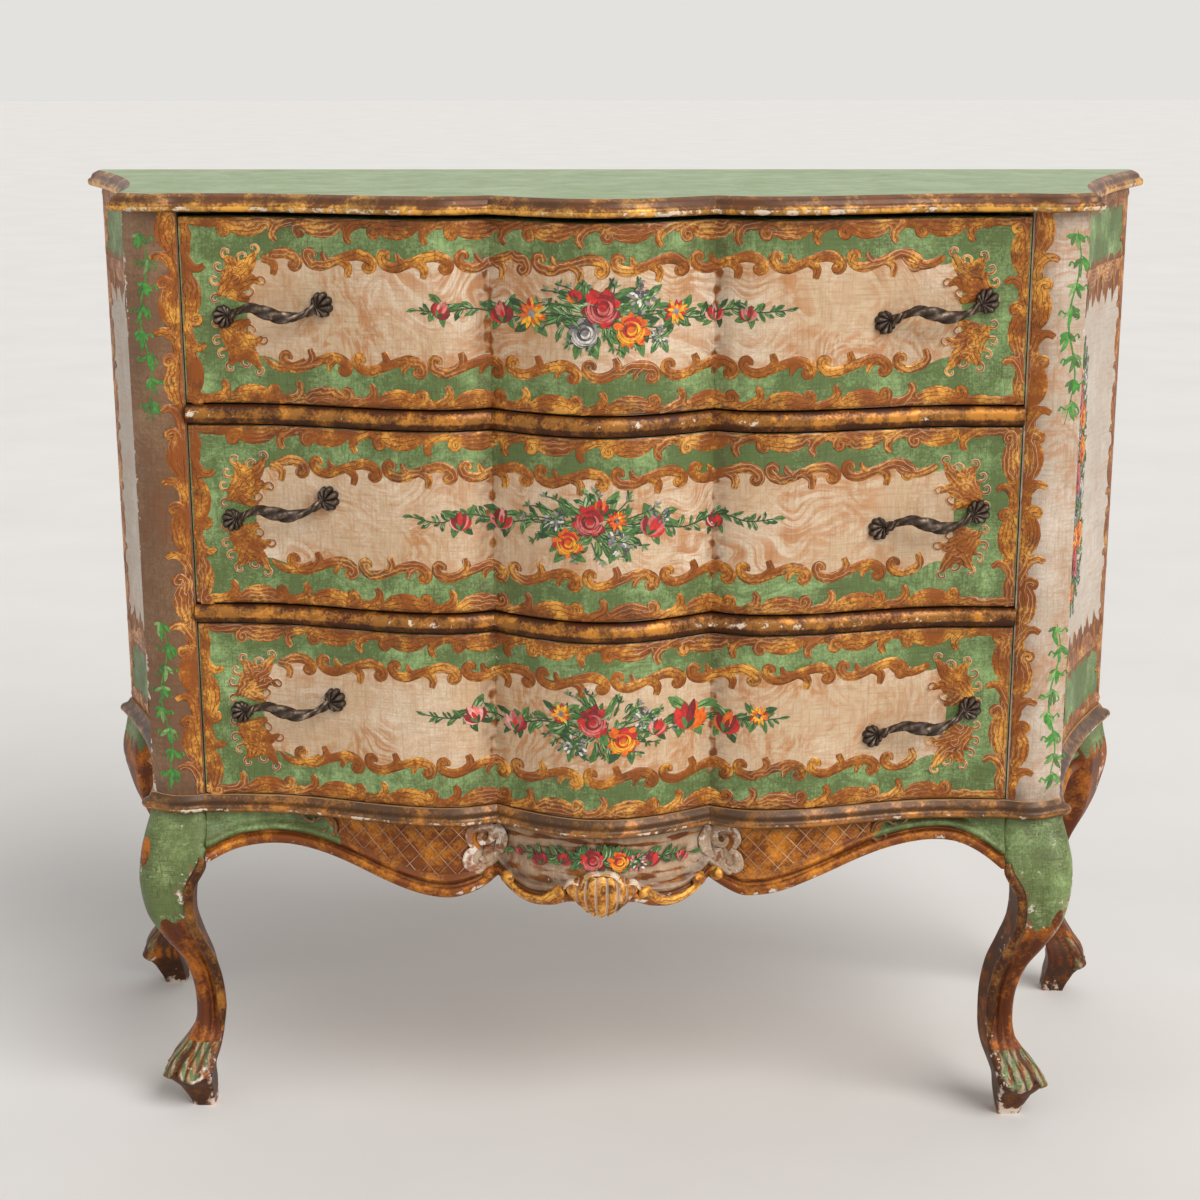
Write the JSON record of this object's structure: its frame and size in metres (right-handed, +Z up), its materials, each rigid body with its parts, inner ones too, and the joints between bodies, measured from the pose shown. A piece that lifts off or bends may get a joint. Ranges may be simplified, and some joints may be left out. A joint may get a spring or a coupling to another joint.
{
  "type": "serpentine chest of drawers",
  "caption": "Painted and gilded serpentine commode with sliding drawers, cast pulls, moulded top, carved apron and cabriole legs.",
  "frame": {"origin": "on the floor, under the middle of the overall box", "axes": "+X to the viewer's right along the front, -Y towards the viewer, +Z up"},
  "size_m": [1.0898, 0.434, 0.895],
  "materials": {
    "painted_top": "worn sage-green paint, satin",
    "gilding": "rubbed gilding over red clay and umber glaze",
    "painted_case": "cream paint with gilded scroll borders, satin",
    "painted_drawers": "green and cream paint with gilded borders and flower sprays, satin",
    "painted_apron": "carved, cross-hatched and gilded, with cream and green paint",
    "painted_legs": "green paint and gilding, worn at the knees and the feet",
    "inner_wood": "bare softwood",
    "drawer_wood": "bare softwood, planed",
    "handle_metal": "dark patina, rubbed on the high places",
    "screw_steel": "plain"
  },
  "bodies": {
    "carcass": {"top_board": "painted_top", "top_moulding": "gilding", "base_moulding": "gilding", "rail_upper": "gilding", "rail_lower": "gilding", "stile_left": "painted_case", "stile_right": "painted_case", "side_left": "painted_case", "side_right": "painted_case", "base_board": "inner_wood", "back_panel": "inner_wood", "rear_post_left": "inner_wood", "rear_post_right": "inner_wood", "batten_left": "inner_wood", "batten_right": "inner_wood", "kicker_left": "inner_wood", "kicker_right": "inner_wood", "runner_1_left": "inner_wood", "runner_1_right": "inner_wood", "runner_2_left": "inner_wood", "runner_2_right": "inner_wood", "guide_3_left": "inner_wood", "guide_3_right": "inner_wood", "drawer_stops": "inner_wood", "apron_back": "inner_wood", "corner_blocks": "inner_wood", "apron_front": "painted_apron", "apron_left": "painted_apron", "apron_right": "painted_apron", "apron_shell": "painted_apron", "leg_front_left": "painted_legs", "leg_front_right": "painted_legs", "leg_rear_left": "painted_legs", "leg_rear_right": "painted_legs"},
    "drawer_1": {"drawer_1_front": "painted_drawers", "drawer_1_side_left": "drawer_wood", "drawer_1_side_right": "drawer_wood", "drawer_1_back": "drawer_wood", "drawer_1_bottom": "drawer_wood", "drawer_1_handle_left": "handle_metal", "drawer_1_handle_right": "handle_metal", "drawer_1_screws": "screw_steel"},
    "drawer_2": {"drawer_2_front": "painted_drawers", "drawer_2_side_left": "drawer_wood", "drawer_2_side_right": "drawer_wood", "drawer_2_back": "drawer_wood", "drawer_2_bottom": "drawer_wood", "drawer_2_handle_left": "handle_metal", "drawer_2_handle_right": "handle_metal", "drawer_2_screws": "screw_steel"},
    "drawer_3": {"drawer_3_front": "painted_drawers", "drawer_3_side_left": "drawer_wood", "drawer_3_side_right": "drawer_wood", "drawer_3_back": "drawer_wood", "drawer_3_bottom": "drawer_wood", "drawer_3_handle_left": "handle_metal", "drawer_3_handle_right": "handle_metal", "drawer_3_screws": "screw_steel"}
  },
  "joints": [
    {"name": "drawer_1_slide", "type": "slide", "parent": "carcass", "child": "drawer_1", "axis": [0, -1, 0], "range_m": [0, 0.24]},
    {"name": "drawer_2_slide", "type": "slide", "parent": "carcass", "child": "drawer_2", "axis": [0, -1, 0], "range_m": [0, 0.24]},
    {"name": "drawer_3_slide", "type": "slide", "parent": "carcass", "child": "drawer_3", "axis": [0, -1, 0], "range_m": [0, 0.24]}
  ]
}
